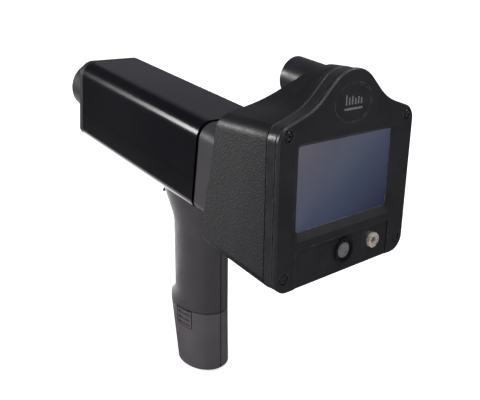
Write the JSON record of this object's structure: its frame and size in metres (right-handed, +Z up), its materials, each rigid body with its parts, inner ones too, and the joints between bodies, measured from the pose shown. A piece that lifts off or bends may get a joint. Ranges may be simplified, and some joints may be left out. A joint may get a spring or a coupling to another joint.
{
  "type": "ultrasonic inspection instrument",
  "caption": "Pistol-grip ultrasonic inspection instrument with a rear display head, box barrel, plug-in nose sensor, trigger and clip-on battery handle base.",
  "frame": {"origin": "centre of the battery's flat base, on the surface the grip stands on", "axes": "+Z up along the grip and the display face, +Y towards the sensor nose, +X to the user's right when reading the display"},
  "size_m": [0.0944, 0.2551, 0.2094],
  "materials": {
    "head_plastic": "fine satin moulded black",
    "textured_plastic": "moulded black with a leathery texture",
    "badge": "satin",
    "black_steel": "black oxide, oiled",
    "seal_rubber": "matte",
    "screen_glass": "anti-glare touch glass",
    "lcd": "unlit display, grey blue",
    "circuit_board": "solder mask",
    "gloss_black": "polished black",
    "dial_metal": "turned, satin",
    "nylon": "moulded nylon",
    "bright_nickel": "bright nickel plate",
    "clear_lens": "polished",
    "black_anodised": "black anodised",
    "neck_plastic": "smooth satin charcoal",
    "barrel_enamel": "gloss black enamel",
    "end_plastic": "satin black",
    "bare_aluminium": "as machined",
    "gold_pin": "plated",
    "grip_plastic": "fine matte charcoal",
    "bare_steel": "ground",
    "battery_plastic": "fine satin charcoal",
    "cell_sleeve": "shrink sleeve"
  },
  "bodies": {
    "instrument": {"display_bezel": "head_plastic", "control_panel": "head_plastic", "oval_badge": "badge", "bezel_screws": "black_steel", "bezel_seal": "seal_rubber", "middle_frame": "head_plastic", "housing_seal": "seal_rubber", "display_housing": "textured_plastic", "display_glass": "screen_glass", "lcd_panel": "lcd", "display_board": "circuit_board", "knob_ring": "gloss_black", "encoder_body": "nylon", "jack_nut": "bright_nickel", "headphone_jack": "bright_nickel", "pointer_tube": "head_plastic", "pointer_lens": "clear_lens", "pointer_module": "black_anodised", "neck": "neck_plastic", "rear_end_plate": "black_anodised", "barrel_cover": "barrel_enamel", "barrel_tray": "barrel_enamel", "front_end_plate": "end_plastic", "front_plate_screws": "black_steel", "screw_bosses": "bare_aluminium", "sensor_socket": "nylon", "main_board": "circuit_board", "board_posts": "gold_pin", "grip_left": "grip_plastic", "grip_right": "grip_plastic", "grip_screws": "black_steel", "trigger_pin": "bare_steel", "trigger_switch": "nylon", "contact_block": "nylon"},
    "dial_carrier": {"encoder_plunger": "nylon"},
    "dial": {"dial_knob": "dial_metal"},
    "trigger": {"trigger": "gloss_black"},
    "battery": {"battery_case_left": "battery_plastic", "battery_case_right": "battery_plastic", "battery_terminals": "gold_pin", "battery_cells": "cell_sleeve"},
    "latch_left": {"latch_left": "battery_plastic"},
    "latch_right": {"latch_right": "battery_plastic"},
    "sensor_module": {"module_shell": "end_plastic", "module_collar": "neck_plastic", "transducers": "bare_aluminium", "module_pins": "gold_pin"}
  },
  "joints": [
    {"name": "dial_push", "type": "slide", "parent": "instrument", "child": "dial_carrier", "axis": [0, 1, 0], "range_m": [0, 0.001], "stiffness_N_per_m": 1500, "springref_m": -0.0005},
    {"name": "dial_turn", "type": "hinge", "parent": "dial_carrier", "child": "dial", "pos_m": [0, -0.117, 0.1181], "axis": [0, 1, 0], "continuous": true},
    {"name": "trigger_squeeze", "type": "hinge", "parent": "instrument", "child": "trigger", "pos_m": [0, 0.0295, 0.1225], "axis": [-1, 0, 0], "range_deg": [0, 10], "stiffness_Nm_per_rad": 0.25, "springref_deg": -5.73},
    {"name": "battery_release", "type": "slide", "parent": "instrument", "child": "battery", "axis": [0, 0, -1], "range_m": [0, 0.05]},
    {"name": "latch_left_press", "type": "slide", "parent": "battery", "child": "latch_left", "axis": [1, 0, 0], "range_m": [0, 0.0015], "stiffness_N_per_m": 2000, "springref_m": -0.0005},
    {"name": "latch_right_press", "type": "slide", "parent": "battery", "child": "latch_right", "axis": [-1, 0, 0], "range_m": [0, 0.0015], "stiffness_N_per_m": 2000, "springref_m": -0.0005},
    {"name": "sensor_unplug", "type": "slide", "parent": "instrument", "child": "sensor_module", "axis": [0, 0.9898, 0.1423], "range_m": [0, 0.04]}
  ]
}
